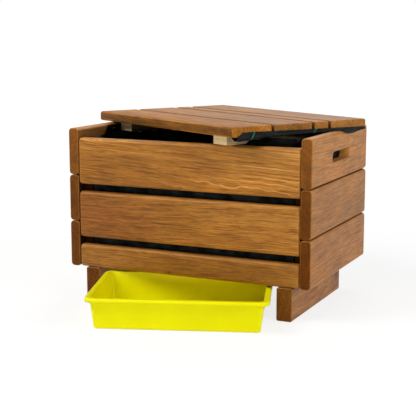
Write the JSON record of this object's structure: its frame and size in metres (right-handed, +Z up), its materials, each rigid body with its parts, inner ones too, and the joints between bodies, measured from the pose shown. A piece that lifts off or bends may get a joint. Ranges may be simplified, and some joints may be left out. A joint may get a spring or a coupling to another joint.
{
  "type": "worm composter",
  "caption": "Garden worm composter: stained pine box on runners lined with black woven cloth, its loose boarded lid laid askew and a yellow collecting tray drawn out beneath",
  "frame": {"origin": "on the ground, under the middle of the outline of the box with its lid and tray as they lie", "axes": "X to the right along the front boards, Y from the front (where the tray comes out) to the back, Z up"},
  "size_m": [0.585, 0.6843, 0.3741],
  "materials": {
    "stained_wood": "planed pine with a thin brown stain, satin",
    "bare_wood": "planed pine, untreated",
    "woven_cloth": "black woven tape cloth with green marker stripes",
    "tray_plastic": "moulded plastic, satin"
  },
  "bodies": {
    "box": {"back_board_bottom": "stained_wood", "back_board_middle": "stained_wood", "back_board_top": "stained_wood", "corner_post_back_left": "stained_wood", "corner_post_back_right": "stained_wood", "corner_post_front_left": "stained_wood", "corner_post_front_right": "stained_wood", "floor_slat_back": "bare_wood", "floor_slat_front": "bare_wood", "floor_slat_middle": "bare_wood", "front_board_bottom": "stained_wood", "front_board_middle": "stained_wood", "front_board_top": "stained_wood", "liner": "woven_cloth", "runner_left": "stained_wood", "runner_right": "stained_wood", "side_board_left_bottom": "stained_wood", "side_board_left_middle": "stained_wood", "side_board_left_top": "stained_wood", "side_board_right_bottom": "stained_wood", "side_board_right_middle": "stained_wood", "side_board_right_top": "stained_wood"},
    "lid": {"lid_batten_left": "bare_wood", "lid_batten_right": "bare_wood", "lid_board_back": "stained_wood", "lid_board_front": "stained_wood", "lid_board_middle": "stained_wood", "lid_board_narrow": "stained_wood", "lid_lining": "woven_cloth"},
    "tray": {"tray": "tray_plastic"}
  },
  "joints": [
    {"name": "lid_lift", "type": "slide", "parent": "box", "child": "lid", "axis": [0, 0, 1], "range_m": [0, 0.25]},
    {"name": "tray_swing", "type": "hinge", "parent": "box", "child": "tray", "pos_m": [0.5224, -0.03401, 0], "axis": [0, 0, 1], "range_deg": [-19.5, 24]}
  ]
}
